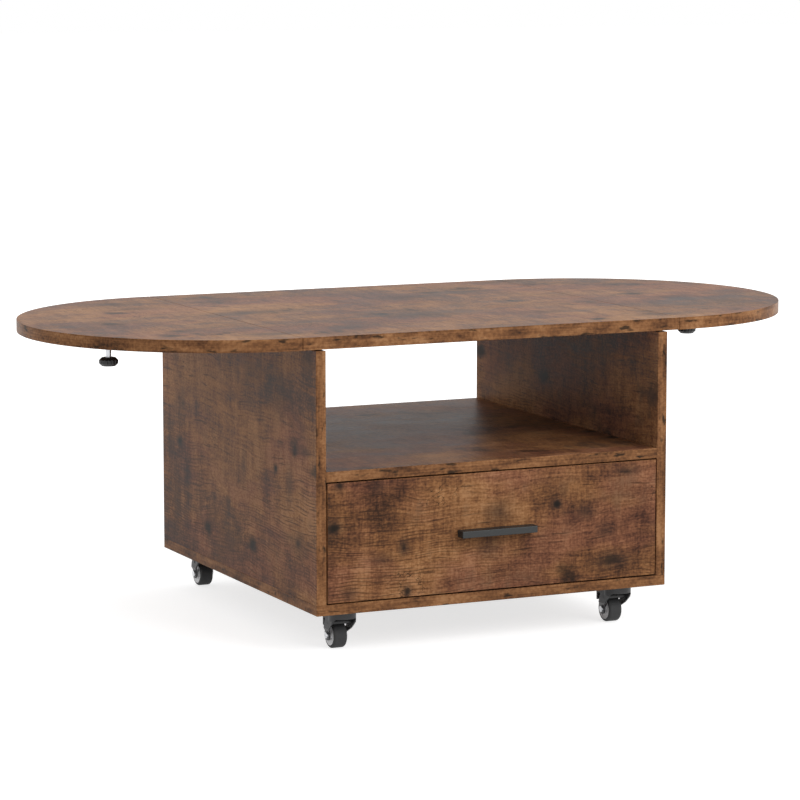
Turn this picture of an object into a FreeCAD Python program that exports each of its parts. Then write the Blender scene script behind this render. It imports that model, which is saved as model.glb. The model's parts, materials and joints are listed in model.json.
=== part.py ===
"""Extendable coffee table with two half-round drop leaves, an open shelf, a drawer and four casters.

Sizes are in millimetres. X runs along the front, Y runs from front to back, Z is up from the floor.
The table is drawn about its own centre and then moved in Y, so that the origin is the middle of its base.
"""
import FreeCAD, Part
import math
import os

Vector = FreeCAD.Vector
X_AXIS = Vector(1, 0, 0)
Y_AXIS = Vector(0, 1, 0)
Z_AXIS = Vector(0, 0, 1)
CENTRE = Vector(0, 0, 0)

# Clearances that are shared by all pieces
running_clearance = 0.05      # radial play of a shaft in its hole
moving_clearance = 0.3        # between curved faces that pass each other
side_clearance = 0.5          # beside a part that turns between two walls

# Table top
top_length = 1200.0           # with both leaves up
top_width = 600.0             # also the diameter of the round ends
top_thickness = 18.0
top_overhang = 1.0            # past the cabinet's front and back
seam_overhang = 20.0          # from a side panel's outer face to the seam of its leaf
seam_gap = 0.6                # between the centre board and a leaf
board_edge_round = 0.6

# Cabinet
cabinet_width = 560.0
panel_thickness = 15.0
drawer_bay_height = 175.0
shelf_bay_height = 171.0

# Cabinet joinery
confirmat_head_radius = 5.0
confirmat_head_height = 3.0
confirmat_radius = 2.5
confirmat_length = 50.0
confirmat_end_inset = 60.0    # from the front and back edges
dowel_radius = 4.0
dowel_end_depth = 10.0        # in the panel that the dowel enters at its face
dowel_edge_depth = 25.0       # in the panel that the dowel enters at its edge
dowel_end_inset = 90.0
cam_radius = 7.5
cam_height = 11.0
cam_bolt_radius = 3.0
cam_reach = 34.0              # from a side panel's inner face to the cam's axis
cam_end_inset = 50.0

# Wood screws
screw_radius = 1.75
screw_head_radius = 3.5
screw_head_height = 1.8
screw_cover = 5.0             # board left beyond a screw's tip

# Leaf hinges
hinge_plate = 2.0             # also lifts the top off the cabinet
hinge_width = 40.0
hinge_end_inset = 100.0       # from the top's front or back edge to the middle of a hinge
hinge_axis_drop = 4.0         # below the underside of the top
hinge_pin_radius = 1.5
hinge_knuckle_width = 16.0    # of the middle knuckle, which turns with the leaf
fixed_wing_length = 60.0
moving_wing_length = 42.0
wing_screw_side = 9.0         # from a wing's sides
wing_screw_edge = 10.0        # from a wing's free end
wing_screw_root = 12.0        # from the hinge axis

# Brackets that tie the centre board to the side panels
bracket_leg = 25.0
bracket_width = 20.0
bracket_sheet = 2.0
bracket_offset = 80.0         # from the centreline
bracket_screw_inset = 9.0     # from the free end of a leg

# Leaf knobs
knob_reach = 180.0            # from the seam outwards
knob_forward = 8.0            # from the leaf's centreline towards the front
knob_drop = 45.0              # from the leaf's underside to the knob's lower face
knob_radius = 14.0
knob_height = 12.5
knob_chamfer = 4.0
knob_flutes = 16
knob_flute_radius = 1.7
stud_radius = 4.0
stud_in_knob = 8.0
stud_in_leaf = 11.0
insert_radius = 6.0
insert_length = 13.0

# Drawer
drawer_gap = 2.0              # around the drawer front
drawer_side_gap = 22.5        # above and below the drawer's sides
drawer_side_thickness = 12.0
drawer_back_gap = 68.0        # from the drawer to the back panel
drawer_bottom_thickness = 5.0
drawer_bottom_lift = 8.0      # from the lower edge of the drawer's sides
drawer_groove = 6.0
drawer_dowel_radius = 3.0
drawer_dowel_spread = 70.0    # between the upper and lower dowels of a corner
drawer_dowel_short = 8.0
drawer_dowel_long = 20.0

# Drawer handle
handle_length = 120.0
handle_height = 10.0
handle_reach = 17.0
handle_bar = 5.0
handle_web = 3.0              # over the finger space
handle_post = 9.0
handle_round = 1.2
handle_screw_radius = 2.0
handle_screw_head_radius = 4.0
handle_screw_head_height = 2.0
handle_screw_bite = 9.0

# Drawer runners, as long as the drawer's sides
runner_height = 35.0
runner_sheet = 1.2
runner_space = 12.7           # between a side panel and the drawer's side
runner_front_gap = 2.0        # behind the drawer front
runner_screw_inset = 40.0
ball_radius = 1.9
balls_in_row = 6
ball_pitch = 25.0
cage_sheet = 0.8
cage_gap = 0.4                # from a runner's web
cage_hook = 0.8               # from the cage's web to the inner runner's flange

# Casters
caster_side_inset = 57.0      # from the cabinet's side to the swivel axis
caster_end_inset = 41.0       # from the cabinet's front or back to the swivel axis
caster_trail = 22.0           # from the swivel axis back to the axle
wheel_radius = 19.0
tyre_width = 21.0
tyre_wall = 4.0               # from the hub out to the tread
tyre_shoulder = 3.5
hub_boss_radius = 6.0
hub_boss_proud = 0.6
hub_dish = 1.5
axle_radius = 3.0
axle_head_radius = 4.5
axle_head_height = 2.5
caster_plate_round = 6.0
caster_plate_sheet = 2.0
caster_screw_pitch = 34.0
caster_screw_edge = 6.0       # from a plate screw out to the plate's edge
kingpin_radius = 4.0
kingpin_head_radius = 7.0
kingpin_head_height = 2.5
crown_radius = 20.0
crown_height = 14.5
fork_sheet = 2.0
leg_end_radius = 7.5
leg_front = 6.0               # from the swivel axis forward to a leg's front edge at the crown
leg_back = 18.0               # from the swivel axis back to the crown's flat end
leg_top_inset = 1.0           # from the crown's outer face in to a leg's outer face
leg_top_drop = 7.0            # upright stretch of a leg below the crown
leg_front_drop = 3.0          # upright stretch of a leg's front edge below the crown
leg_straight = 4.0            # flat stretch of a leg above the axle
leg_bulge = 2.0               # outwards, halfway down a leg's lean
mouth_height = 4.0            # of the arch in the front of the crown
mouth_round = 3.5

# Brake pedals of the two front casters
pedal_tube_radius = 3.5
pedal_pin_radius = 2.0
pedal_pivot_y = 8.0           # behind the swivel axis
pedal_width = 18.0
pedal_sheet = 3.0
pedal_crown_gap = 0.65        # from the pedal up to the fork's crown
pedal_tab_gap = 4.0           # from the tyre back to the pedal's tab
pedal_tab_height = 14.0
pedal_slot_height = 6.0       # in the back of the crown
brake_shoe_length = 8.0
brake_shoe_width = 14.0
brake_shoe_height = 2.0
brake_gap = 0.35              # between the shoe and the tyre

# Levels and faces that follow from the sizes above, from the floor up
shoe_bottom = 2 * wheel_radius + brake_gap
pedal_bottom = shoe_bottom + brake_shoe_height
pedal_top = pedal_bottom + pedal_sheet
crown_bottom = pedal_top + pedal_crown_gap
crown_top = crown_bottom + crown_height
plate_bottom = crown_top + side_clearance
cabinet_bottom = plate_bottom + caster_plate_sheet
bay_floor = cabinet_bottom + panel_thickness
shelf_bottom = bay_floor + drawer_bay_height
shelf_top = shelf_bottom + panel_thickness
cabinet_top = shelf_top + shelf_bay_height
top_bottom = cabinet_top + hinge_plate
top_face = top_bottom + top_thickness

top_radius = top_width / 2
round_end_x = top_length / 2 - top_radius
side_face = cabinet_width / 2
side_inner = side_face - panel_thickness
back_face = top_radius - top_overhang
front_face = -back_face
seam_x = side_face + seam_overhang

hinge_axis_z = top_bottom - hinge_axis_drop
knuckle_radius = hinge_axis_drop - moving_clearance
wing_notch = hinge_axis_drop + side_clearance
knob_base = Vector(seam_x + knob_reach, -knob_forward, top_bottom - knob_drop)

drawer_front_back = front_face + panel_thickness
drawer_side_outer = side_inner - runner_space
drawer_side_inner = drawer_side_outer - drawer_side_thickness
drawer_middle_z = bay_floor + drawer_bay_height / 2
drawer_side_bottom = bay_floor + drawer_side_gap
drawer_side_top = shelf_bottom - drawer_side_gap
drawer_box_back = back_face - panel_thickness - drawer_back_gap

hub_radius = wheel_radius - tyre_wall
leg_inner = tyre_width / 2 + hub_boss_proud + side_clearance
leg_outer = leg_inner + fork_sheet
pedal_pivot_z = crown_bottom - pedal_tube_radius - side_clearance
pedal_end_y = caster_trail + wheel_radius + pedal_tab_gap + pedal_sheet

front_reach = max(-front_face + handle_reach, top_radius)
back_reach = max(back_face, top_radius)
centre_shift = Vector(0, (front_reach - back_reach) / 2, 0)

parts = {}


def box(x0, x1, y0, y1, z0, z1):
    """A block between two corners."""
    return Part.makeBox(x1 - x0, y1 - y0, z1 - z0, Vector(x0, y0, z0))


def board(x0, x1, y0, y1, z0, z1):
    """A block with lightly rounded edges."""
    block = box(x0, x1, y0, y1, z0, z1)
    return block.makeFillet(board_edge_round, block.Edges)


def rod(start, direction, radius, length):
    return Part.makeCylinder(radius, length, start, direction)


def joined(shapes):
    """One solid from shapes that overlap."""
    return shapes[0].fuse(shapes[1:]).removeSplitter()


def flipped(shape):
    """The left-hand copy of a right-hand shape."""
    return shape.mirror(CENTRE, X_AXIS)


def both_sides(shapes):
    """Right-hand shapes and their left-hand copies."""
    return shapes + [flipped(shape) for shape in shapes]


def drilled(shape, cutters):
    return shape.cut(cutters)


def prism(points, direction):
    """A flat outline through the points, pushed along the direction."""
    return Part.Face(Part.makePolygon(points + points[:1])).extrude(direction)


def wood_screw(point, direction, plate, board_thickness):
    """A countersunk screw, its head flush at the point, that fastens a plate to a board."""
    length = plate + board_thickness - screw_cover
    head = Part.makeCone(screw_head_radius, screw_radius, screw_head_height, point, direction)
    return joined([head, rod(point, direction, screw_radius, length)])


def keep(name, *solids):
    """Stores a node's solids in the table's final frame."""
    shape = solids[0] if len(solids) == 1 else Part.makeCompound(list(solids))
    parts[name] = shape.translated(centre_shift)


# Joinery of the cabinet

def confirmat_screw(x, y):
    start = Vector(x, y, cabinet_bottom)
    head = rod(start, Z_AXIS, confirmat_head_radius, confirmat_head_height)
    return joined([head, rod(start, Z_AXIS, confirmat_radius, confirmat_length)])


def confirmat_screws():
    """Screws up through the bottom panel into the lower edges of the side panels."""
    x = side_face - panel_thickness / 2
    rows = (front_face + confirmat_end_inset, 0, back_face - confirmat_end_inset)
    return both_sides([confirmat_screw(x, y) for y in rows])


def panel_dowels():
    """Dowels from the side panels into the ends of the shelf and of the back panel."""
    start_x = side_inner + dowel_end_depth
    length = dowel_end_depth + dowel_edge_depth
    shelf_z = shelf_bottom + panel_thickness / 2
    back_y = back_face - panel_thickness / 2
    places = [
        (front_face + dowel_end_inset, shelf_z),
        (back_face - dowel_end_inset, shelf_z),
        (back_y, bay_floor + drawer_bay_height / 4),
        (back_y, bay_floor + drawer_bay_height * 3 / 4),
    ]
    return both_sides([rod(Vector(start_x, y, z), -X_AXIS, dowel_radius, length) for y, z in places])


def cam_fittings():
    """Cams in the underside of the shelf, and the bolts by which they draw in the side panels."""
    solids = []
    for y in (front_face + cam_end_inset, back_face - cam_end_inset):
        bolt_start = Vector(side_inner + dowel_end_depth, y, shelf_bottom + panel_thickness / 2)
        bolt = rod(bolt_start, -X_AXIS, cam_bolt_radius, dowel_end_depth + cam_reach)
        cam = rod(Vector(side_inner - cam_reach, y, shelf_bottom), Z_AXIS, cam_radius, cam_height)
        solids += [bolt, cam.cut(bolt)]
    return both_sides(solids)


# Leaf hinges, drawn for the right-hand seam

def hinge_zones(y):
    """The spans along Y of the two fixed knuckles and of the middle knuckle."""
    half = hinge_width / 2
    middle = hinge_knuckle_width / 2
    gap = moving_clearance
    return [(y - half, y - middle - gap), (y + middle + gap, y + half)], (y - middle, y + middle)


def knuckle(span):
    start = Vector(seam_x, span[0], hinge_axis_z)
    return rod(start, Y_AXIS, knuckle_radius, span[1] - span[0])


def fixed_wing_screws(y):
    places = (seam_x - fixed_wing_length + wing_screw_edge, seam_x - wing_screw_root)
    return wing_screws(y, places)


def moving_wing_screws(y):
    places = (seam_x + moving_wing_length - wing_screw_edge, seam_x + wing_screw_root)
    return wing_screws(y, places)


def wing_screws(y, places):
    half_spread = hinge_width / 2 - wing_screw_side
    rows = (y - half_spread, y + half_spread)
    plate_under = top_bottom - hinge_plate
    return [
        wood_screw(Vector(x, row, plate_under), Z_AXIS, hinge_plate, top_thickness)
        for x in places
        for row in rows
    ]


def fixed_wing(y):
    """The wing under the centre board, which bears on the side panel, with its two knuckles."""
    fixed_spans, middle_span = hinge_zones(y)
    plate = box(seam_x - fixed_wing_length, seam_x, y - hinge_width / 2, y + hinge_width / 2,
                top_bottom - hinge_plate, top_bottom)
    notch = box(seam_x - wing_notch, seam_x, middle_span[0] - moving_clearance,
                middle_span[1] + moving_clearance, top_bottom - hinge_plate, top_bottom)
    wing = joined([plate.cut(notch)] + [knuckle(span) for span in fixed_spans])
    return drilled(wing, fixed_wing_screws(y) + [hinge_pin(y)])


def moving_wing(y):
    """The wing under the leaf, with the middle knuckle."""
    middle_span = hinge_zones(y)[1]
    plate = box(seam_x, seam_x + moving_wing_length, y - hinge_width / 2, y + hinge_width / 2,
                top_bottom - hinge_plate, top_bottom)
    notches = [
        box(seam_x, seam_x + wing_notch, y - hinge_width / 2, middle_span[0],
            top_bottom - hinge_plate, top_bottom),
        box(seam_x, seam_x + wing_notch, middle_span[1], y + hinge_width / 2,
            top_bottom - hinge_plate, top_bottom),
    ]
    wing = joined([plate.cut(notches), knuckle(middle_span)])
    bore = rod(Vector(seam_x, y - hinge_width / 2, hinge_axis_z), Y_AXIS,
               hinge_pin_radius + running_clearance, hinge_width)
    return drilled(wing, moving_wing_screws(y) + [bore])


def hinge_pin(y):
    return rod(Vector(seam_x, y - hinge_width / 2, hinge_axis_z), Y_AXIS, hinge_pin_radius, hinge_width)


# The top, cut at the seams

def top_slab():
    """The whole top: straight sides between two round ends."""
    near_left = Vector(-round_end_x, -top_radius, top_bottom)
    near_right = Vector(round_end_x, -top_radius, top_bottom)
    far_right = Vector(round_end_x, top_radius, top_bottom)
    far_left = Vector(-round_end_x, top_radius, top_bottom)
    edges = [
        Part.LineSegment(near_left, near_right),
        Part.Arc(near_right, Vector(top_length / 2, 0, top_bottom), far_right),
        Part.LineSegment(far_right, far_left),
        Part.Arc(far_left, Vector(-top_length / 2, 0, top_bottom), near_left),
    ]
    outline = Part.Wire([edge.toShape() for edge in edges])
    return Part.Face(outline).extrude(Z_AXIS * top_thickness)


def is_smooth(edge):
    """Whether an edge of the top is the line where a straight side runs into a round end."""
    upright = edge.BoundBox.ZLength > top_thickness / 2
    return upright and abs(abs(edge.BoundBox.Center.x) - round_end_x) < running_clearance


def top_piece(x0, x1):
    """The stretch of the top between two cuts, with lightly rounded edges."""
    piece = top_slab().common(box(x0, x1, -top_width, top_width, cabinet_bottom, top_face + top_thickness))
    return piece.makeFillet(board_edge_round, [edge for edge in piece.Edges if not is_smooth(edge)])


# Brackets between the side panels and the centre board

def bracket_screws(y):
    into_top = wood_screw(
        Vector(side_inner - bracket_leg + bracket_screw_inset, y, top_bottom - bracket_sheet),
        Z_AXIS, bracket_sheet, top_thickness)
    into_side = wood_screw(
        Vector(side_inner - bracket_sheet, y, top_bottom - bracket_leg + bracket_screw_inset),
        X_AXIS, bracket_sheet, panel_thickness)
    return [into_top, into_side]


def bracket(y):
    near = y - bracket_width / 2
    far = y + bracket_width / 2
    flat_leg = box(side_inner - bracket_leg, side_inner, near, far, top_bottom - bracket_sheet, top_bottom)
    down_leg = box(side_inner - bracket_sheet, side_inner, near, far, top_bottom - bracket_leg, top_bottom)
    return drilled(joined([flat_leg, down_leg]), bracket_screws(y))


# Leaves and their knobs, drawn for the right-hand leaf

def knob_stud():
    """A threaded stud, moulded into the knob, that turns in the leaf's insert."""
    start = knob_base + Z_AXIS * (knob_height - stud_in_knob)
    return rod(start, Z_AXIS, stud_radius, knob_drop - knob_height + stud_in_knob + stud_in_leaf)


def knob():
    """A round knob with chamfered rims and grip flutes."""
    inner = knob_radius - knob_chamfer
    outline = [
        knob_base,
        knob_base + Vector(inner, 0, 0),
        knob_base + Vector(knob_radius, 0, knob_chamfer),
        knob_base + Vector(knob_radius, 0, knob_height - knob_chamfer),
        knob_base + Vector(inner, 0, knob_height),
        knob_base + Vector(0, 0, knob_height),
    ]
    profile = Part.Face(Part.makePolygon(outline + outline[:1]))
    body = profile.revolve(knob_base, Z_AXIS, 360)
    flute_ring = knob_radius + knob_flute_radius / 2
    flutes = []
    for index in range(knob_flutes):
        angle = 2 * math.pi * index / knob_flutes
        place = knob_base + Vector(math.cos(angle), math.sin(angle), 0) * flute_ring
        flutes.append(rod(place, Z_AXIS, knob_flute_radius, knob_height))
    return body.cut(flutes + [knob_stud()])


def knob_insert():
    """A threaded sleeve let into the underside of the leaf."""
    start = knob_base + Z_AXIS * knob_drop
    sleeve = rod(start, Z_AXIS, insert_radius, insert_length)
    return sleeve.cut(rod(start, Z_AXIS, stud_radius + running_clearance, stud_in_leaf + side_clearance))


def leaf():
    """A round end of the top, whose straight edge meets the centre board."""
    shape = top_piece(seam_x + seam_gap / 2, top_length / 2)
    insert_hole = rod(knob_base + Z_AXIS * knob_drop, Z_AXIS, insert_radius, insert_length)
    screws = [screw for y in hinge_rows for screw in moving_wing_screws(y)]
    return drilled(shape, screws + [insert_hole])


# Drawer runners, drawn for the right-hand side, across from the side panel to the drawer

def runner_block(near, far, z0, z1, y0, y1):
    """A block between two distances from the side panel's inner face."""
    return box(side_inner - far, side_inner - near, y0, y1, drawer_middle_z + z0, drawer_middle_z + z1)


runner_front = drawer_front_back + runner_front_gap
runner_back = drawer_box_back + runner_front_gap
race_outer = runner_height / 2 - runner_sheet
race_inner = race_outer - 2 * (ball_radius + running_clearance)
ball_z = (race_outer + race_inner) / 2
cage_web_far = runner_sheet + cage_gap + cage_sheet
inner_flange_near = cage_web_far + cage_hook
outer_flange_far = runner_space - runner_sheet - cage_hook
ball_across = (inner_flange_near + outer_flange_far) / 2
cage_length = (balls_in_row - 1) * ball_pitch + 4 * ball_radius
cage_back = (runner_front + runner_back + cage_length) / 2
cage_front = cage_back - cage_length


def runner_screw_rows():
    middle = (runner_front + runner_back) / 2
    return runner_front + runner_screw_inset, middle, runner_back - runner_screw_inset


def outer_runner_screws():
    x = side_inner - runner_sheet
    return [
        wood_screw(Vector(x, y, drawer_middle_z), X_AXIS, runner_sheet, panel_thickness)
        for y in runner_screw_rows()
    ]


def inner_runner_screws():
    x = drawer_side_outer + runner_sheet
    return [
        wood_screw(Vector(x, y, drawer_middle_z), -X_AXIS, runner_sheet, drawer_side_thickness)
        for y in runner_screw_rows()
    ]


def outer_runner():
    half = runner_height / 2
    web = runner_block(0, runner_sheet, -half, half, runner_front, runner_back)
    upper = runner_block(0, outer_flange_far, race_outer, half, runner_front, runner_back)
    lower = runner_block(0, outer_flange_far, -half, -race_outer, runner_front, runner_back)
    return drilled(joined([web, upper, lower]), outer_runner_screws())


def inner_runner():
    web_near = runner_space - runner_sheet
    shelf_z = race_inner - runner_sheet
    web = runner_block(web_near, runner_space, -race_inner, race_inner, runner_front, runner_back)
    upper = runner_block(inner_flange_near, runner_space, shelf_z, race_inner, runner_front, runner_back)
    lower = runner_block(inner_flange_near, runner_space, -race_inner, -shelf_z, runner_front, runner_back)
    return drilled(joined([web, upper, lower]), inner_runner_screws())


def runner_balls():
    first = cage_front + 2 * ball_radius
    x = side_inner - ball_across
    return [
        Part.makeSphere(ball_radius, Vector(x, first + index * ball_pitch, drawer_middle_z + z))
        for z in (-ball_z, ball_z)
        for index in range(balls_in_row)
    ]


def ball_cage():
    """The strip that keeps the balls of one runner apart."""
    half = cage_sheet / 2
    web_near = cage_web_far - cage_sheet
    web = runner_block(web_near, cage_web_far, -ball_z - half, ball_z + half, cage_front, cage_back)
    upper = runner_block(web_near, outer_flange_far, ball_z - half, ball_z + half, cage_front, cage_back)
    lower = runner_block(web_near, outer_flange_far, -ball_z - half, -ball_z + half, cage_front, cage_back)
    x = side_inner - ball_across
    first = cage_front + 2 * ball_radius
    holes = [
        rod(Vector(x, first + index * ball_pitch, drawer_middle_z - ball_z - cage_sheet), Z_AXIS,
            ball_radius + running_clearance, 2 * (ball_z + cage_sheet))
        for index in range(balls_in_row)
    ]
    return drilled(joined([web, upper, lower]), holes)


# Drawer

def drawer_bottom():
    low = drawer_side_bottom + drawer_bottom_lift
    across = drawer_side_inner + drawer_groove
    back = drawer_box_back - drawer_side_thickness + drawer_groove
    return box(-across, across, drawer_front_back - drawer_groove, back, low, low + drawer_bottom_thickness)


def drawer_dowels():
    """Dowels that hold the drawer's sides to its front and to its back."""
    solids = []
    x = drawer_side_outer - drawer_side_thickness / 2
    back_y = drawer_box_back - drawer_side_thickness / 2
    length = drawer_dowel_short + drawer_dowel_long
    for z in (drawer_middle_z - drawer_dowel_spread / 2, drawer_middle_z + drawer_dowel_spread / 2):
        front_start = Vector(x, drawer_front_back - drawer_dowel_short, z)
        back_start = Vector(drawer_side_inner + drawer_dowel_short, back_y, z)
        solids.append(rod(front_start, Y_AXIS, drawer_dowel_radius, length))
        solids.append(rod(back_start, -X_AXIS, drawer_dowel_radius, length))
    return both_sides(solids)


def handle_screws():
    """Screws through the drawer front into the handle's posts, with their heads inside the drawer."""
    x = handle_length / 2 - handle_post / 2
    start = Vector(x, drawer_front_back + handle_screw_head_height, drawer_middle_z)
    head = rod(start, -Y_AXIS, handle_screw_head_radius, handle_screw_head_height)
    shank_length = handle_screw_head_height + panel_thickness + handle_screw_bite
    return both_sides([joined([head, rod(start, -Y_AXIS, handle_screw_radius, shank_length)])])


def handle():
    """A flat bar on two end posts, with finger space that opens downwards."""
    half = handle_length / 2
    low = drawer_middle_z - handle_height / 2
    high = drawer_middle_z + handle_height / 2
    outer_y = front_face - handle_reach
    solid = box(-half, half, outer_y, front_face, low, high)
    finger_gap = box(-half + handle_post, half - handle_post, outer_y + handle_bar, front_face,
                     low, high - handle_web)
    bow = solid.cut(finger_gap)
    grip_edges = [edge for edge in bow.Edges if edge.BoundBox.YMax < outer_y + handle_bar / 2]
    return drilled(bow.makeFillet(handle_round, grip_edges), handle_screws())


# Casters, drawn about the swivel axis with the axle behind it

def caster_screws():
    half = caster_screw_pitch / 2
    return [
        wood_screw(Vector(x, y, plate_bottom), Z_AXIS, caster_plate_sheet, panel_thickness)
        for x in (-half, half)
        for y in (-half, half)
    ]


def kingpin():
    """The rivet that the fork turns on."""
    low = crown_top - fork_sheet - moving_clearance
    shaft = rod(Vector(0, 0, low), Z_AXIS, kingpin_radius, cabinet_bottom - low)
    head = rod(Vector(0, 0, low - kingpin_head_height), Z_AXIS, kingpin_head_radius, kingpin_head_height)
    return joined([shaft, head])


def caster_plate():
    half = caster_screw_pitch / 2 + caster_screw_edge
    plate = box(-half, half, -half, half, plate_bottom, cabinet_bottom)
    corners = [edge for edge in plate.Edges if edge.BoundBox.ZLength > edge.BoundBox.XLength
               and edge.BoundBox.ZLength > edge.BoundBox.YLength]
    plate = plate.makeFillet(caster_plate_round, corners)
    return drilled(plate, caster_screws() + [kingpin()])


def fork_leg():
    """The right-hand leg: a sheet that leans in from the crown, trimmed to its side outline."""
    top = crown_bottom + mouth_height + fork_sheet
    shoulder = crown_bottom - leg_top_drop
    bend = wheel_radius + leg_straight
    end = wheel_radius - leg_end_radius
    front = caster_trail - leg_end_radius
    top_outer = crown_radius - leg_top_inset
    middle = (shoulder + bend) / 2
    middle_outer = (top_outer + leg_outer) / 2 + leg_bulge
    outer = [
        (top_outer, top),
        (top_outer, shoulder),
        (middle_outer, middle),
        (leg_outer, bend),
        (leg_outer, end),
    ]
    inner = [(x - fork_sheet, z) for x, z in reversed(outer)]
    across = [Vector(x, 0, z) for x, z in outer + inner]
    outline = [
        Vector(0, -leg_front, top),
        Vector(0, -leg_front, crown_bottom - leg_front_drop),
        Vector(0, front, wheel_radius + leg_end_radius / 2),
        Vector(0, front, wheel_radius),
        Vector(0, caster_trail + leg_end_radius, wheel_radius),
        Vector(0, leg_back, crown_bottom),
        Vector(0, leg_back, top),
    ]
    reach = caster_trail + leg_end_radius + leg_front
    sheet = prism([point - Y_AXIS * leg_front for point in across], Y_AXIS * reach)
    side = prism(outline, X_AXIS * crown_radius)
    end_disc = rod(Vector(0, caster_trail, wheel_radius), X_AXIS, leg_end_radius, crown_radius)
    return sheet.common(joined([side, end_disc]))


def crown_block(inset, height):
    """A block with the crown's outline, round in front and square behind, drawn in by the inset."""
    half = crown_radius - leg_top_inset - inset
    front = rod(Vector(0, 0, crown_bottom), Z_AXIS, crown_radius - inset, height)
    back = box(-half, half, 0, leg_back - inset, crown_bottom, crown_bottom + height)
    return joined([front, back])


def fork_mouth():
    """The arched opening between the legs, in the front of the crown."""
    half = crown_radius - leg_top_inset - fork_sheet
    high = crown_bottom + mouth_height
    opening = box(-half, half, -crown_radius, 0, crown_bottom, high)
    upper_corners = [edge for edge in opening.Edges
                     if edge.BoundBox.ZMin > crown_bottom and edge.BoundBox.XLength < side_clearance]
    return opening.makeFillet(mouth_round, upper_corners)


def pedal_axis(half_length, radius):
    start = Vector(-half_length, pedal_pivot_y, pedal_pivot_z)
    return rod(start, X_AXIS, radius, 2 * half_length)


def fork():
    """A pressed cup on the kingpin, with two legs that carry the axle and the pedal's pins."""
    cup = crown_block(0, crown_height)
    hollow = crown_block(fork_sheet, crown_height - fork_sheet)
    shell = joined([cup.cut([hollow, fork_mouth()]), fork_leg(), flipped(fork_leg())])
    slot_half = pedal_width / 2 + side_clearance
    slot = box(-slot_half, slot_half, 0, crown_radius, crown_bottom, crown_bottom + pedal_slot_height)
    kingpin_hole = rod(Vector(0, 0, crown_bottom), Z_AXIS, kingpin_radius + running_clearance, crown_height)
    pedal_holes = pedal_axis(crown_radius, pedal_pin_radius + running_clearance)
    return drilled(shell, [slot, kingpin_hole, pedal_holes, axle()])


def axle():
    """A bolt through both legs, with a head at each end."""
    start = Vector(-leg_outer, caster_trail, wheel_radius)
    shaft = rod(start, X_AXIS, axle_radius, 2 * leg_outer)
    heads = [
        rod(start - X_AXIS * axle_head_height, X_AXIS, axle_head_radius, axle_head_height),
        rod(start + X_AXIS * 2 * leg_outer, X_AXIS, axle_head_radius, axle_head_height),
    ]
    return joined([shaft] + heads)


def wheel_turned(outline):
    """A solid of revolution about the axle, from points of distance along the axle and of radius."""
    points = [Vector(across, caster_trail, wheel_radius + radius) for across, radius in outline]
    face = Part.Face(Part.makePolygon(points + points[:1]))
    return face.revolve(Vector(0, caster_trail, wheel_radius), X_AXIS, 360)


def hub():
    """The wheel's core, dished on both faces around its boss."""
    rim = tyre_width / 2
    boss = rim + hub_boss_proud
    bore = axle_radius + running_clearance
    rim_inner = (hub_radius + hub_boss_radius) / 2
    half = [
        (boss, bore),
        (boss, hub_boss_radius),
        (rim - hub_dish, hub_boss_radius),
        (rim - hub_dish, rim_inner),
        (rim, hub_radius),
    ]
    other_half = [(-across, radius) for across, radius in reversed(half)]
    return wheel_turned(half + other_half)


def tyre():
    """The tread ring, with rounded shoulders."""
    rim = tyre_width / 2
    ring = wheel_turned([(rim, hub_radius), (rim, wheel_radius), (-rim, wheel_radius), (-rim, hub_radius)])
    shoulder = min(tyre_shoulder, tyre_wall - side_clearance)
    tread_edges = [edge for edge in ring.Edges
                   if edge.BoundBox.ZMin < side_clearance and edge.BoundBox.XLength < side_clearance]
    return ring.makeFillet(shoulder, tread_edges)


def brake_pedal():
    """A lever on two stub pins, with a shoe over the tyre and a tab behind the wheel."""
    half = pedal_width / 2
    tube = pedal_axis(leg_outer, pedal_tube_radius)
    pins = pedal_axis(crown_radius - fork_sheet / 2, pedal_pin_radius)
    plate = box(-half, half, pedal_pivot_y, pedal_end_y, pedal_bottom, pedal_top)
    tab = box(-half, half, pedal_end_y - pedal_sheet, pedal_end_y, pedal_top - pedal_tab_height, pedal_top)
    shoe_front = caster_trail - brake_shoe_length / 2
    shoe = box(-brake_shoe_width / 2, brake_shoe_width / 2, shoe_front, shoe_front + brake_shoe_length,
               shoe_bottom, pedal_bottom)
    return joined([tube, pins, plate, tab, shoe])


caster_x = side_face - caster_side_inset
caster_front_y = front_face + caster_end_inset
caster_back_y = back_face - caster_end_inset
caster_places = {
    "front_left": Vector(-caster_x, caster_front_y, 0),
    "front_right": Vector(caster_x, caster_front_y, 0),
    "rear_left": Vector(-caster_x, caster_back_y, 0),
    "rear_right": Vector(caster_x, caster_back_y, 0),
}
braked_casters = ("front_left", "front_right")


def at_casters(solids):
    """Copies of the solids at every swivel axis."""
    return [solid.translated(place) for place in caster_places.values() for solid in solids]


# Fasteners of the cabinet's own body

hinge_rows = (hinge_end_inset - top_radius, top_radius - hinge_end_inset)
bracket_rows = (-bracket_offset, bracket_offset)
hinge_fasteners = both_sides([screw for y in hinge_rows for screw in fixed_wing_screws(y)])
bracket_fasteners = both_sides([screw for y in bracket_rows for screw in bracket_screws(y)])
runner_fasteners = both_sides(outer_runner_screws())
caster_fasteners = at_casters(caster_screws())
confirmats = confirmat_screws()
dowels = panel_dowels()
cams = cam_fittings()

# Cabinet panels

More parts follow.
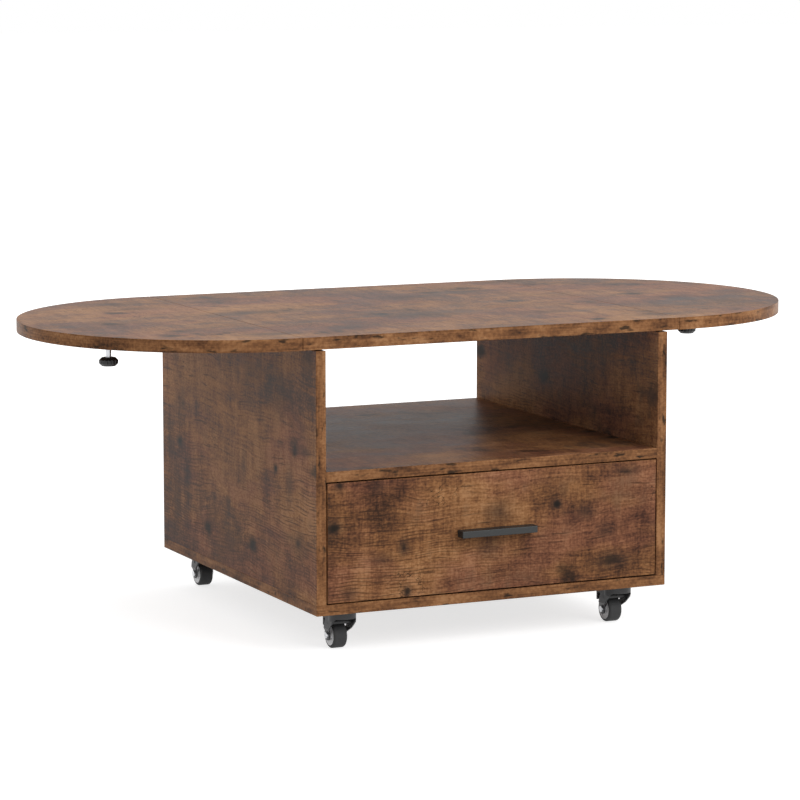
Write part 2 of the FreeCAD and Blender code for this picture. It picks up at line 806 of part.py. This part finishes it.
bottom_panel = board(-side_face, side_face, front_face, back_face, cabinet_bottom, bay_floor)
keep("bottom_panel", drilled(bottom_panel, confirmats + caster_fasteners))
side_panel = board(side_inner, side_face, front_face, back_face, bay_floor, cabinet_top)
side_cutters = confirmats + dowels + cams + bracket_fasteners + runner_fasteners
keep("right_side_panel", drilled(side_panel, side_cutters))
keep("left_side_panel", drilled(flipped(side_panel), side_cutters))
shelf = board(-side_inner, side_inner, front_face, back_face, shelf_bottom, shelf_top)
keep("shelf", drilled(shelf, dowels + cams))
back_panel = board(-side_inner, side_inner, back_face - panel_thickness, back_face, bay_floor, shelf_bottom)
keep("back_panel", drilled(back_panel, dowels))
keep("confirmat_screws", *confirmats)
keep("panel_dowels", *dowels)
keep("shelf_cam_fittings", *cams)

# Top, hinges and leaves

centre_edge = seam_x - seam_gap / 2
centre_top = top_piece(-centre_edge, centre_edge)
keep("centre_top", drilled(centre_top, hinge_fasteners + bracket_fasteners))
keep("top_brackets", *both_sides([bracket(y) for y in bracket_rows]))
keep("cabinet_wood_screws", *(hinge_fasteners + bracket_fasteners + runner_fasteners))
keep("hinge_fixed_wings", *both_sides([fixed_wing(y) for y in hinge_rows]))
keep("hinge_pins", *both_sides([hinge_pin(y) for y in hinge_rows]))

leaf_solids = {
    "leaf": [leaf()],
    "hinge_moving_wings": [moving_wing(y) for y in hinge_rows],
    "leaf_screws": [screw for y in hinge_rows for screw in moving_wing_screws(y)],
    "knob": [knob()],
    "knob_stud": [knob_stud()],
    "knob_insert": [knob_insert()],
}
for name, solids in leaf_solids.items():
    keep("right_" + name, *solids)
    keep("left_" + name, *[flipped(solid) for solid in solids])

# Drawer and runners

pull_screws = handle_screws()
drawer_pegs = drawer_dowels()
drawer_fasteners = both_sides(inner_runner_screws())
bottom_board = drawer_bottom()
drawer_front = board(-side_inner + drawer_gap, side_inner - drawer_gap, front_face, drawer_front_back,
                     bay_floor + drawer_gap, shelf_bottom - drawer_gap)
keep("drawer_front", drilled(drawer_front, pull_screws + drawer_pegs + [bottom_board]))
drawer_side = board(drawer_side_inner, drawer_side_outer, drawer_front_back, drawer_box_back,
                    drawer_side_bottom, drawer_side_top)
drawer_side_cutters = drawer_pegs + drawer_fasteners + [bottom_board]
keep("drawer_right_side", drilled(drawer_side, drawer_side_cutters))
keep("drawer_left_side", drilled(flipped(drawer_side), drawer_side_cutters))
drawer_back = board(-drawer_side_inner, drawer_side_inner, drawer_box_back - drawer_side_thickness,
                    drawer_box_back, drawer_side_bottom, drawer_side_top)
keep("drawer_back", drilled(drawer_back, drawer_pegs + [bottom_board]))
keep("drawer_bottom", bottom_board)
keep("drawer_dowels", *drawer_pegs)
keep("drawer_handle", handle())
keep("drawer_screws", *(pull_screws + drawer_fasteners))

runner_solids = {
    "runner_outer": [outer_runner()],
    "runner_inner": [inner_runner()],
    "runner_ball_cage": [ball_cage()] + runner_balls(),
}
for name, solids in runner_solids.items():
    keep("right_" + name, *solids)
    keep("left_" + name, *[flipped(solid) for solid in solids])

# Casters

keep("caster_plates", *at_casters([caster_plate()]))
keep("caster_kingpins", *at_casters([kingpin()]))
keep("caster_screws", *caster_fasteners)
for corner, place in caster_places.items():
    keep(corner + "_fork", fork().translated(place))
    keep(corner + "_axle", axle().translated(place))
    keep(corner + "_hub", hub().translated(place))
    keep(corner + "_tyre", tyre().translated(place))
    if corner in braked_casters:
        keep(corner + "_brake_pedal", brake_pedal().translated(place))

os.makedirs("parts", exist_ok=True)
for name, shape in parts.items():
    shape.exportStep(os.path.join("parts", name + ".step"))
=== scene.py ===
"""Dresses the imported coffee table: rustic boards, metal, plastic and rubber, on a white studio floor."""
import json
import math

import bpy
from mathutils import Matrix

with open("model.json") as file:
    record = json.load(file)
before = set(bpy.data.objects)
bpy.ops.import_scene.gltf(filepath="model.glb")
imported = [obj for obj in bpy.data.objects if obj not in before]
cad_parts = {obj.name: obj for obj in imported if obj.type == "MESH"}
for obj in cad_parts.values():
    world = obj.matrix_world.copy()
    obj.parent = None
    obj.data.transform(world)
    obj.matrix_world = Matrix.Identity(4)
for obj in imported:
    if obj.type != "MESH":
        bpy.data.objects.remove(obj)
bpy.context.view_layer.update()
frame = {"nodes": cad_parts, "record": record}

# Camera, fitted to the straight edges of the cabinet in the photograph
CAMERA_PLACE = (-2.11029, -4.49349, 1.00240)
CAMERA_YAW = math.radians(24.995)
CAMERA_PITCH = math.radians(7.872)
CAMERA_LENS = 149.447

# Light, at a level where a colour renders about as it is written
FILL_STRENGTH = 0.74
KEY_PLACE = (1.5, -3.4, 2.5)
KEY_SIZE = 2.2
KEY_POWER = 75.0
KEY_AIM = (0.0, 0.0, 0.25)
BACKDROP_COLOUR = (1.0, 1.0, 1.0, 1.0)

# Floor
FLOOR_HALF = 30.0
FLOOR_COLOUR = (0.62, 0.62, 0.62, 1.0)
FLOOR_LIFT = 0.72             # white added near the table, so that only its shadow is darker
FLOOR_NEAR = 1.2
FLOOR_FAR = 3.5

# Colours of the printed boards, from the darkest grain to the lightest, by tone
FACE_TONES = (
    (0.20, (0.040, 0.021, 0.014)),
    (0.37, (0.102, 0.046, 0.024)),
    (0.52, (0.189, 0.083, 0.036)),
    (0.66, (0.283, 0.131, 0.054)),
    (0.86, (0.410, 0.208, 0.095)),
)
BLUSH_TONES = (
    (0.20, (0.036, 0.018, 0.014)),
    (0.37, (0.088, 0.037, 0.024)),
    (0.52, (0.160, 0.066, 0.037)),
    (0.66, (0.235, 0.098, 0.052)),
    (0.86, (0.350, 0.165, 0.088)),
)
EDGE_TONES = (
    (0.18, (0.045, 0.024, 0.016)),
    (0.38, (0.125, 0.056, 0.027)),
    (0.54, (0.205, 0.092, 0.040)),
    (0.68, (0.275, 0.128, 0.055)),
    (0.86, (0.370, 0.185, 0.085)),
)
SMOKE_COLOUR = (0.036, 0.024, 0.020, 1.0)
KNOT_COLOUR = (0.014, 0.013, 0.011, 1.0)
LINE_COLOUR = (0.040, 0.021, 0.014, 1.0)
BOARD_SPECULAR = 0.048

# Layers of the print: features per metre along, across and through the board, octaves,
# and how strong the fine octaves are
PRINT_LAYERS = {
    "drift": ((4.0, 8.0, 5.0), 2.0, 0.55),
    "blush": ((5.0, 9.0, 6.0), 3.0, 0.55),
    "clouds": ((3.0, 4.6, 4.0), 4.0, 0.55),
    "mottle": ((14.0, 22.0, 20.0), 6.0, 0.60),
    "specks": ((210.0, 330.0, 210.0), 2.0, 0.5),
    "smears": ((60.0, 12.0, 14.0), 5.0, 0.62),
    "weave": ((420.0, 60.0, 60.0), 2.0, 0.5),
    "blotches": ((7.5, 8.5, 9.0), 9.0, 0.6),
    "bands": ((6.0, 6.0, 330.0), 5.0, 0.62),
    "patches": ((14.0, 14.0, 40.0), 7.0, 0.66),
    "flecks": ((42.0, 42.0, 140.0), 3.0, 0.5),
    "crack_zones": ((9.0, 11.0, 9.0), 2.0, 0.5),
    "crack_paths": ((55.0, 80.0, 55.0), 3.0, 0.5),
}
GRAIN_LAYERS = {
    "streaks": ((11.0, 270.0, 40.0), 4.0, 0.6),
    "fibres": ((60.0, 1100.0, 60.0), 2.0, 0.5),
    "line_wander": ((14.0, 22.0, 14.0), 2.0, 0.5),
    "line_zones": ((3.0, 4.2, 3.0), 2.0, 0.5),
    "line_breaks": ((26.0, 160.0, 30.0), 3.0, 0.5),
    "dashes": ((22.0, 300.0, 30.0), 3.0, 0.5),
    "knot_wobble": ((40.0, 60.0, 40.0), 4.0, 0.55),
}
MARK_LAYERS = {"ragged": ((45.0, 60.0, 45.0), 5.0, 0.65)}

# How far each layer moves a tone or a measure from its base, as it leaves the noise's middle value
NOISE_MIDDLE = 0.5
FACE_BASE = 0.58
EDGE_BASE = 0.56
SMOKE_BASE = 0.5
ROUGHNESS_BASE = 0.40
HEIGHT_BASE = 0.5
FACE_MIX = {"clouds": 0.95, "mottle": 0.85, "specks": 0.55, "smears": 0.62, "streaks": 0.55, "weave": 0.30,
            "fibres": 0.20}
SMOKE_MIX = {"blotches": 1.0, "smears": 0.40, "mottle": 0.35}
EDGE_MIX = {"bands": 0.70, "patches": 1.50, "specks": 0.60, "fibres": 0.10}
ROUGHNESS_MIX = {"streaks": 0.16, "clouds": 0.12, "mottle": 0.16}
HEIGHT_MIX = {"streaks": 0.50, "fibres": 0.35, "mottle": 0.30}
GRAIN_MIX = {"drift": 0.05}
RULING_MIX = {"line_wander": 14.0}
KNOT_MIX = {"knot_wobble": 0.22}
MARK_MIX = {"ragged": 1.1}

# Where a feature of the print starts and where it is full, and its strength at both
FADES = {
    "ruling": (0.1, 1.0, 0.0, 1.0),
    "line_zones": (0.45, 0.62, 0.0, 1.0),
    "line_breaks": (0.40, 0.60, 0.0, 0.70),
    "dashes": (0.60, 0.72, 0.0, 0.70),
    "crack_paths": (0.004, 0.02, 0.8, 0.0),
    "crack_zones": (0.60, 0.68, 0.0, 1.0),
    "knot_spots": (0.01, 0.14, 0.92, 0.0),
    "knot_cells": (0.25, 0.70, 0.0, 1.0),
    "blush": (0.42, 0.62, 0.0, 1.0),
    "smoke": (0.54, 0.72, 0.0, 1.0),
    "mark_cores": (0.50, 0.90, 0.0, 0.90),
    "flecks": (0.58, 0.72, 0.0, 0.85),
    "facing": (0.60, 0.80, 0.0, 1.0),
}
LINE_PITCH = 0.0046
KNOT_CELLS = (5.0, 7.0, 0.0)  # per metre
MARK_REACH = 1.5              # how far a mark's shade reaches, in its half sizes
PLAIN_SMOKE = 0.75            # how dark the smoky patches are on boards that set no other value
BOARD_BUMP = 0.18
BOARD_RELIEF = 0.0006         # metres

# Variation of the other finishes: octaves and their strength, and where colour and gloss change
FINISH_BASE = 0.5
FINISH_MIX = {"coarse": 0.7, "fine": 0.9}
FINE_NOISE = (4.0, 0.6)
COARSE_NOISE = (3.0, 0.55)
COARSE_SHARE = 0.12           # features of the coarse noise for each of the fine one
COLOUR_STOPS = (0.25, 0.75)
GLOSS_STOPS = (0.2, 0.8)
FINISH_BUMP = 0.1
FINISH_RELIEF = 0.0002        # metres

# Smoky marks of the top, the drawer front and the left side panel, as the photograph has them:
# place along and across the grain, half length, half height, and how dark
TOP_MARKS = (
    (-0.390, 0.220, 0.050, 0.030, 0.60),
    (-0.380, 0.150, 0.040, 0.025, 0.55),
    (-0.255, 0.030, 0.070, 0.030, 0.60),
    (-0.310, -0.230, 0.060, 0.025, 0.60),
    (-0.530, -0.065, 0.035, 0.030, 0.45),
    (0.055, 0.130, 0.060, 0.030, 0.60),
    (0.175, 0.165, 0.050, 0.030, 0.65),
    (0.265, 0.270, 0.040, 0.020, 0.60),
    (0.160, -0.140, 0.060, 0.025, 0.55),
    (-0.025, -0.100, 0.070, 0.030, 0.60),
    (0.290, -0.240, 0.050, 0.020, 0.65),
    (0.430, -0.045, 0.050, 0.030, 0.50),
    (0.555, -0.010, 0.030, 0.040, 0.50),
)
DRAWER_MARKS = (
    (-0.255, 0.185, 0.020, 0.015, 0.85),
    (-0.245, 0.245, 0.010, 0.010, 0.75),
    (-0.185, 0.240, 0.015, 0.010, 0.55),
    (-0.145, 0.150, 0.010, 0.015, 0.75),
    (-0.180, 0.135, 0.020, 0.010, 0.50),
    (-0.140, 0.085, 0.010, 0.010, 0.80),
    (0.005, 0.190, 0.025, 0.020, 0.60),
    (0.100, 0.195, 0.010, 0.010, 0.85),
    (0.145, 0.180, 0.020, 0.015, 0.60),
    (0.215, 0.235, 0.025, 0.010, 0.70),
    (0.190, 0.105, 0.035, 0.015, 0.75),
    (0.180, 0.150, 0.020, 0.015, 0.50),
    (-0.010, 0.140, 0.025, 0.020, 0.50),
    (-0.230, 0.090, 0.015, 0.010, 0.55),
)
SIDE_MARKS = (
    (0.235, 0.240, 0.015, 0.010, 0.85),
    (0.220, 0.300, 0.010, 0.010, 0.70),
    (-0.145, 0.250, 0.010, 0.010, 0.85),
    (-0.225, 0.155, 0.020, 0.015, 0.70),
    (-0.250, 0.290, 0.020, 0.010, 0.60),
    (0.070, 0.400, 0.010, 0.030, 0.55),
    (-0.265, 0.425, 0.030, 0.025, 0.60),
    (-0.160, 0.365, 0.050, 0.040, 0.45),
    (0.250, 0.150, 0.015, 0.030, 0.50),
    (0.115, 0.120, 0.010, 0.020, 0.60),
    (0.035, 0.170, 0.010, 0.020, 0.50),
    (-0.025, 0.240, 0.010, 0.025, 0.50),
    (0.020, 0.115, 0.050, 0.030, 0.50),
    (-0.195, 0.235, 0.015, 0.030, 0.50),
)

# Places of the sockets for colours on a mix node
MIX_FACTOR = 0
MIX_FIRST = 6
MIX_SECOND = 7
MIX_RESULT = 2


class Tree:
    """Adds shader nodes to a node tree and links them."""

    def __init__(self, node_tree):
        self.nodes = node_tree.nodes
        self.links = node_tree.links

    def feed(self, socket, value):
        """Links a socket to an input, or sets the input to a value."""
        if isinstance(value, bpy.types.NodeSocket):
            self.links.new(value, socket)
        else:
            socket.default_value = value

    def add(self, kind, inputs=None, **settings):
        node = self.nodes.new(kind)
        for key, value in settings.items():
            setattr(node, key, value)
        for key, value in (inputs or {}).items():
            self.feed(node.inputs[key], value)
        return node

    def calc(self, operation, first, second=0.0):
        return self.add("ShaderNodeMath", {0: first, 1: second}, operation=operation).outputs[0]

    def total(self, base, layers, weights):
        """The base value plus each layer, from its middle value, by its weight."""
        result = base
        for name, weight in weights.items():
            centred = self.calc("SUBTRACT", layers[name], NOISE_MIDDLE)
            result = self.calc("ADD", self.calc("MULTIPLY", centred, weight), result)
        return result

    def fade(self, value, start, end, low=0.0, high=1.0):
        """A smooth step from low to high as the value goes from start to end."""
        inputs = {"Value": value, "From Min": start, "From Max": end, "To Min": low, "To Max": high}
        return self.add("ShaderNodeMapRange", inputs, interpolation_type="SMOOTHSTEP").outputs["Result"]

    def added(self, vector, other):
        return self.add("ShaderNodeVectorMath", {0: vector, 1: other}, operation="ADD").outputs["Vector"]

    def stretched(self, vector, scale):
        return self.add("ShaderNodeVectorMath", {0: vector, 1: scale}, operation="MULTIPLY").outputs["Vector"]

    def noise(self, vector, scale, detail, roughness):
        """Noise with its own number of features per metre along each axis."""
        return self.add("ShaderNodeTexNoise", {
            "Vector": self.stretched(vector, scale),
            "Scale": 1.0,
            "Detail": detail,
            "Roughness": roughness,
        }).outputs[0]

    def layers(self, vector, table):
        """One noise for each line of a table of layers."""
        return {name: self.noise(vector, *settings) for name, settings in table.items()}

    def ramp(self, factor, stops):
        node = self.add("ShaderNodeValToRGB", {"Fac": factor})
        elements = node.color_ramp.elements
        while len(elements) < len(stops):
            elements.new(1.0)
        for element, (position, colour) in zip(elements, stops):
            element.position = position
            element.color = (*colour, 1.0)
        return node.outputs["Color"]

    def blend(self, factor, first, second):
        """A mix of two colours, by the places that the node's colour sockets have among its sockets."""
        inputs = {MIX_FACTOR: factor, MIX_FIRST: first, MIX_SECOND: second}
        return self.add("ShaderNodeMix", inputs, data_type="RGBA").outputs[MIX_RESULT]


def new_material(name):
    """A material with a Principled shader, and its tree."""
    material = bpy.data.materials.new(name)
    material.use_nodes = True
    shader = material.node_tree.nodes["Principled BSDF"]
    return material, Tree(material.node_tree), shader


# Printed boards

def grain_lines(tree, place, layers):
    """How dark the lines along the grain are: a wavy ruling in some zones, and short dashes all over."""
    across = tree.add("ShaderNodeSeparateXYZ", {0: place}).outputs["Y"]
    turns = tree.calc("MULTIPLY", across, 2 * math.pi / LINE_PITCH)
    wave = tree.calc("SINE", tree.total(turns, layers, RULING_MIX))
    ruled = tree.fade(wave, *FADES["ruling"])
    for name in ("line_zones", "line_breaks"):
        ruled = tree.calc("MULTIPLY", ruled, tree.fade(layers[name], *FADES[name]))
    return tree.calc("MAXIMUM", ruled, tree.fade(layers["dashes"], *FADES["dashes"]))


def cracks(tree, layers):
    """How dark the fine crooked cracks are, which come in a few small groups."""
    off_path = tree.calc("ABSOLUTE", tree.calc("SUBTRACT", layers["crack_paths"], NOISE_MIDDLE))
    paths = tree.fade(off_path, *FADES["crack_paths"])
    return tree.calc("MULTIPLY", paths, tree.fade(layers["crack_zones"], *FADES["crack_zones"]))


def knots(tree, place, layers):
    """How dark the knots are: soft spots in some of the cells of a loose grid."""
    inputs = {"Vector": tree.stretched(place, KNOT_CELLS), "Scale": 1.0}
    cells = tree.add("ShaderNodeTexVoronoi", inputs, voronoi_dimensions="2D")
    distance = tree.total(cells.outputs["Distance"], layers, KNOT_MIX)
    present = tree.add("ShaderNodeSeparateXYZ", {0: cells.outputs["Color"]}).outputs["X"]
    spots = tree.fade(distance, *FADES["knot_spots"])
    return tree.calc("MULTIPLY", spots, tree.fade(present, *FADES["knot_cells"]))


def rustic_pattern():
    """The print of the boards: smoky patches, saw marks and knots on faces, streaky bands on edges."""
    pattern = bpy.data.node_groups.new("rustic_pattern", "ShaderNodeTree")
    sockets = (
        ("Place", "INPUT", "NodeSocketVector"),
        ("Facing", "INPUT", "NodeSocketFloat"),
        ("Smoke", "INPUT", "NodeSocketFloat"),
        ("Marks", "INPUT", "NodeSocketFloat"),
        ("Color", "OUTPUT", "NodeSocketColor"),
        ("Roughness", "OUTPUT", "NodeSocketFloat"),
        ("Height", "OUTPUT", "NodeSocketFloat"),
    )
    for name, direction, kind in sockets:
        pattern.interface.new_socket(name=name, in_out=direction, socket_type=kind)
    tree = Tree(pattern)
    given = tree.add("NodeGroupInput").outputs
    place = given["Place"]
    layers = tree.layers(place, PRINT_LAYERS)

    # The grain wanders a little across the board
    shift = tree.add("ShaderNodeCombineXYZ", {"Y": tree.total(0.0, layers, GRAIN_MIX)}).outputs[0]
    wavy = tree.added(place, shift)
    layers.update(tree.layers(wavy, GRAIN_LAYERS))

    # Faces: mixed tones in warmer and redder zones, darker lines, smoky patches, knots and cracks
    tone = tree.total(FACE_BASE, layers, FACE_MIX)
    redder = tree.fade(layers["blush"], *FADES["blush"])
    face = tree.blend(redder, tree.ramp(tone, FACE_TONES), tree.ramp(tone, BLUSH_TONES))
    face = tree.blend(grain_lines(tree, wavy, layers), face, LINE_COLOUR)
    smoke = tree.fade(tree.total(SMOKE_BASE, layers, SMOKE_MIX), *FADES["smoke"])
    smoke = tree.calc("MULTIPLY", smoke, given["Smoke"])
    face = tree.blend(tree.calc("MAXIMUM", smoke, given["Marks"]), face, SMOKE_COLOUR)
    dark_spots = tree.calc("MAXIMUM", knots(tree, wavy, layers), cracks(tree, layers))
    dark_spots = tree.calc("MAXIMUM", dark_spots, tree.fade(given["Marks"], *FADES["mark_cores"]))
    face = tree.blend(dark_spots, face, KNOT_COLOUR)

    # Edges: bands along the edge, with darker patches and small knots
    edge = tree.ramp(tree.total(EDGE_BASE, layers, EDGE_MIX), EDGE_TONES)
    edge = tree.blend(tree.fade(layers["flecks"], *FADES["flecks"]), edge, KNOT_COLOUR)

    outputs = tree.add("NodeGroupOutput").inputs
    facing = tree.fade(given["Facing"], *FADES["facing"])
    tree.feed(outputs["Color"], tree.blend(facing, edge, face))
    tree.feed(outputs["Roughness"], tree.total(ROUGHNESS_BASE, layers, ROUGHNESS_MIX))
    tree.feed(outputs["Height"], tree.total(HEIGHT_BASE, layers, HEIGHT_MIX))
    return pattern


def smoky_marks(tree, place, marks):
    """How dark a board is at its listed marks, whose outlines are ragged."""
    layers = tree.layers(place, MARK_LAYERS)
    darkest = 0.0
    for along, across, half_length, half_height, darkness in marks:
        inputs = {"Vector": place, "Location": (along, across, 0.0), "Scale": (half_length, half_height, 1.0)}
        around = tree.add("ShaderNodeMapping", inputs, vector_type="TEXTURE").outputs["Vector"]
        distance = tree.add("ShaderNodeVectorMath", {0: around}, operation="LENGTH").outputs["Value"]
        distance = tree.total(distance, layers, MARK_MIX)
        darkest = tree.calc("MAXIMUM", tree.fade(distance, 0.0, MARK_REACH, darkness, 0.0), darkest)
    return darkest


def board_material(name, pattern, grain, through, offset, smoke=PLAIN_SMOKE, marks=()):
    """A printed board: its axes of grain and thickness, its own stretch of the print, its smoke and marks."""
    material, tree, shader = new_material(name)
    across = ({"X", "Y", "Z"} - {grain, through}).pop()
    source = tree.add("ShaderNodeTexCoord").outputs
    here = tree.add("ShaderNodeSeparateXYZ", {0: source["Object"]}).outputs
    normal = tree.add("ShaderNodeSeparateXYZ", {0: source["Normal"]}).outputs
    turned = {"X": here[grain], "Y": here[across], "Z": here[through]}
    place = tree.added(tree.add("ShaderNodeCombineXYZ", turned).outputs[0], offset)
    facing = tree.calc("ABSOLUTE", normal[through])
    board_print = tree.add("ShaderNodeGroup", node_tree=pattern)
    for key, value in {"Place": place, "Facing": facing, "Smoke": smoke}.items():
        tree.feed(board_print.inputs[key], value)
    if marks:
        flat = tree.add("ShaderNodeCombineXYZ", {"X": here[grain], "Y": here[across]}).outputs[0]
        tree.feed(board_print.inputs["Marks"], smoky_marks(tree, flat, marks))
    relief = {"Strength": BOARD_BUMP, "Distance": BOARD_RELIEF, "Height": board_print.outputs["Height"]}
    tree.feed(shader.inputs["Normal"], tree.add("ShaderNodeBump", relief).outputs["Normal"])
    tree.feed(shader.inputs["Base Color"], board_print.outputs["Color"])
    tree.feed(shader.inputs["Roughness"], board_print.outputs["Roughness"])
    shader.inputs["Specular IOR Level"].default_value = BOARD_SPECULAR
    return material


# Metal, plastic, rubber and raw wood

def grainy_material(name, dark, light, features, rough, metallic=0.0):
    """A finish whose colour, gloss and surface vary with a noise of that many features per metre."""
    material, tree, shader = new_material(name)
    place = tree.add("ShaderNodeTexCoord").outputs["Object"]
    wide = tuple(value * COARSE_SHARE for value in features)
    layers = {
        "coarse": tree.noise(place, wide, *COARSE_NOISE),
        "fine": tree.noise(place, features, *FINE_NOISE),
    }
    mixed = tree.total(FINISH_BASE, layers, FINISH_MIX)
    stops = tuple(zip(COLOUR_STOPS, (dark, light)))
    tree.feed(shader.inputs["Base Color"], tree.ramp(mixed, stops))
    tree.feed(shader.inputs["Roughness"], tree.fade(mixed, *GLOSS_STOPS, *rough))
    relief = {"Strength": FINISH_BUMP, "Distance": FINISH_RELIEF, "Height": layers["fine"]}
    tree.feed(shader.inputs["Normal"], tree.add("ShaderNodeBump", relief).outputs["Normal"])
    shader.inputs["Metallic"].default_value = metallic
    return material


# Grain axis, axis of the thickness, stretch of the print, and for some the smoke and the marks
BOARDS = {
    "left_side_panel": ("Y", "X", (25.2, 10.0, 0.4), 0.5, SIDE_MARKS),
    "right_side_panel": ("Y", "X", (6.7, 2.9, 0.4)),
    "shelf": ("X", "Z", (1.7, 4.3, 0.2)),
    "bottom_panel": ("X", "Z", (9.4, 5.1, 0.2)),
    "back_panel": ("X", "Y", (4.6, 7.7, 0.1)),
    "drawer_front": ("X", "Y", (25.2, 16.0, 0.1), 0.45, DRAWER_MARKS),
    "drawer_left_side": ("Y", "X", (5.5, 3.3, 0.6)),
    "drawer_right_side": ("Y", "X", (8.1, 6.4, 0.6)),
    "drawer_back": ("X", "Y", (7.2, 9.5, 0.3)),
}
TOP_PRINT = ("X", "Z", (7.2, 10.0, 0.0), 0.9, TOP_MARKS)
TOP_BOARDS = ("centre_top", "left_leaf", "right_leaf")

pattern = rustic_pattern()
board_prints = {node: board_material("rustic_" + node, pattern, *facts) for node, facts in BOARDS.items()}
top_print = board_material("rustic_top", pattern, *TOP_PRINT)
board_prints.update({node: top_print for node in TOP_BOARDS})

slot_finishes = {
    "hardboard": grainy_material(
        "brown_hardboard", (0.10, 0.052, 0.026), (0.19, 0.105, 0.055), (900, 900, 900), (0.6, 0.75)),
    "dowel_wood": grainy_material(
        "beech_dowel", (0.42, 0.27, 0.14), (0.58, 0.41, 0.24), (300, 900, 900), (0.55, 0.7)),
    "zinc_steel": grainy_material(
        "zinc_steel", (0.50, 0.51, 0.53), (0.70, 0.71, 0.73), (350, 350, 350), (0.26, 0.42), metallic=1.0),
    "brass_insert": grainy_material(
        "brass_insert", (0.55, 0.40, 0.16), (0.72, 0.54, 0.25), (500, 500, 500), (0.28, 0.45), metallic=1.0),
    "black_plastic": grainy_material(
        "black_plastic", (0.010, 0.010, 0.011), (0.022, 0.022, 0.023), (1600, 1600, 1600), (0.36, 0.5)),
    "black_metal": grainy_material(
        "black_powder_coat", (0.009, 0.010, 0.010), (0.019, 0.020, 0.020), (2200, 2200, 2200), (0.42, 0.55)),
    "fork_paint": grainy_material(
        "fork_paint", (0.016, 0.016, 0.017), (0.034, 0.034, 0.036), (1500, 1500, 1500), (0.36, 0.5)),
    "hub_plastic": grainy_material(
        "hub_plastic", (0.74, 0.74, 0.75), (0.86, 0.86, 0.87), (1200, 1200, 1200), (0.38, 0.52)),
    "tyre_rubber": grainy_material(
        "tyre_rubber", (0.022, 0.022, 0.023), (0.042, 0.042, 0.043), (1100, 1100, 1100), (0.6, 0.78)),
    "pedal_plastic": grainy_material(
        "pedal_plastic", (0.010, 0.010, 0.010), (0.020, 0.020, 0.021), (1600, 1600, 1600), (0.4, 0.55)),
    "axle_steel": grainy_material(
        "axle_steel", (0.55, 0.56, 0.58), (0.74, 0.75, 0.77), (600, 600, 600), (0.22, 0.36), metallic=1.0),
}


def dress_nodes():
    """Gives every node its own print, or the finish of its material slot in the record."""
    slots = {entry["node"]: entry["material_slot"] for entry in frame["record"]["subparts"]}
    for name, node in frame["nodes"].items():
        material = board_prints.get(name) or slot_finishes[slots[name]]
        node.data.materials.clear()
        node.data.materials.append(material)


dress_nodes()


# Studio

def seen_directly(tree):
    """One for rays that show a surface to the camera, straight or by gloss or glass, else zero."""
    path = tree.add("ShaderNodeLightPath").outputs
    seen = tree.calc("MAXIMUM", path["Is Camera Ray"], path["Is Glossy Ray"])
    return tree.calc("MAXIMUM", seen, path["Is Transmission Ray"])


def make_floor():
    """A plain pale floor that stays white to the camera and keeps the table's shadow."""
    corners = [(x * FLOOR_HALF, y * FLOOR_HALF, 0.0) for x, y in ((-1, -1), (1, -1), (1, 1), (-1, 1))]
    mesh = bpy.data.meshes.new("floor")
    mesh.from_pydata(corners, [], [(0, 1, 2, 3)])
    floor = bpy.data.objects.new("floor", mesh)
    bpy.context.scene.collection.objects.link(floor)
    material = bpy.data.materials.new("floor")
    material.use_nodes = True
    material.node_tree.nodes.clear()
    tree = Tree(material.node_tree)
    diffuse = tree.add("ShaderNodeBsdfDiffuse", {"Color": FLOOR_COLOUR})
    place = tree.add("ShaderNodeTexCoord").outputs["Object"]
    away = tree.add("ShaderNodeVectorMath", {0: place}, operation="LENGTH").outputs["Value"]
    lift = tree.fade(away, FLOOR_NEAR, FLOOR_FAR, FLOOR_LIFT, 1.0)
    strength = tree.calc("MULTIPLY", seen_directly(tree), lift)
    glow = tree.add("ShaderNodeEmission", {"Strength": strength})
    both = tree.add("ShaderNodeAddShader", {0: diffuse.outputs[0], 1: glow.outputs[0]})
    tree.add("ShaderNodeOutputMaterial", {"Surface": both.outputs[0]})
    mesh.materials.append(material)


def make_world():
    """White to the eye and in reflections, with a softer strength for the light that it gives."""
    world = bpy.data.worlds.new("studio")
    bpy.context.scene.world = world
    world.use_nodes = True
    world.node_tree.nodes.clear()
    tree = Tree(world.node_tree)
    strength = tree.fade(seen_directly(tree), 0.0, 1.0, FILL_STRENGTH, 1.0)
    background = tree.add("ShaderNodeBackground", {"Color": BACKDROP_COLOUR, "Strength": strength})
    tree.add("ShaderNodeOutputWorld", {"Surface": background.outputs[0]})


def make_key_light():
    """A square soft light aimed at the table."""
    light = bpy.data.lights.new("key_light", "AREA")
    light.size = KEY_SIZE
    light.energy = KEY_POWER
    lamp = bpy.data.objects.new("key_light", light)
    lamp.location = KEY_PLACE
    bpy.context.scene.collection.objects.link(lamp)
    aim = [target - start for target, start in zip(KEY_AIM, KEY_PLACE)]
    lamp.rotation_euler = (
        math.atan2(math.hypot(aim[0], aim[1]), -aim[2]),
        0.0,
        math.atan2(-aim[0], aim[1]),
    )


def make_camera():
    data = bpy.data.cameras.new("camera")
    data.lens = CAMERA_LENS
    camera = bpy.data.objects.new("camera", data)
    camera.location = CAMERA_PLACE
    camera.rotation_euler = (math.pi / 2 - CAMERA_PITCH, 0.0, -CAMERA_YAW)
    bpy.context.scene.collection.objects.link(camera)
    bpy.context.scene.camera = camera


make_floor()
make_world()
make_key_light()
make_camera()
bpy.context.scene.view_settings.view_transform = "Standard"
